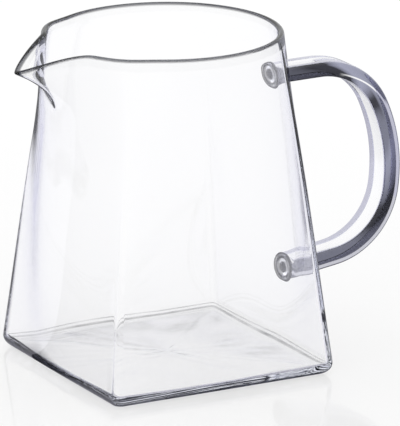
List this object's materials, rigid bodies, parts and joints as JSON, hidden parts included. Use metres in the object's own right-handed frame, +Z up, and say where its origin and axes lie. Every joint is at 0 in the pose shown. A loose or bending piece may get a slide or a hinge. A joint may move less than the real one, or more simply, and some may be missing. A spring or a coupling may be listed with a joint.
{
  "type": "glass pitcher",
  "caption": "Clear glass pitcher with a square base that rises into a round mouth, a pulled V spout and a solid glass strap handle.",
  "frame": {"origin": "middle of the flat underside, on the surface that the pitcher stands on", "axes": "+Z up out of the mouth, +X towards the handle, -X towards the spout"},
  "size_m": [0.1705, 0.107, 0.136],
  "materials": {
    "vessel": "clear, fire-polished",
    "handle": "clear, fire-polished",
    "upper_weld": "clear, flame-melted",
    "lower_weld": "clear, flame-melted"
  },
  "bodies": {
    "root": {"vessel": "vessel", "handle": "handle", "upper_weld": "upper_weld", "lower_weld": "lower_weld"}
  },
  "joints": []
}
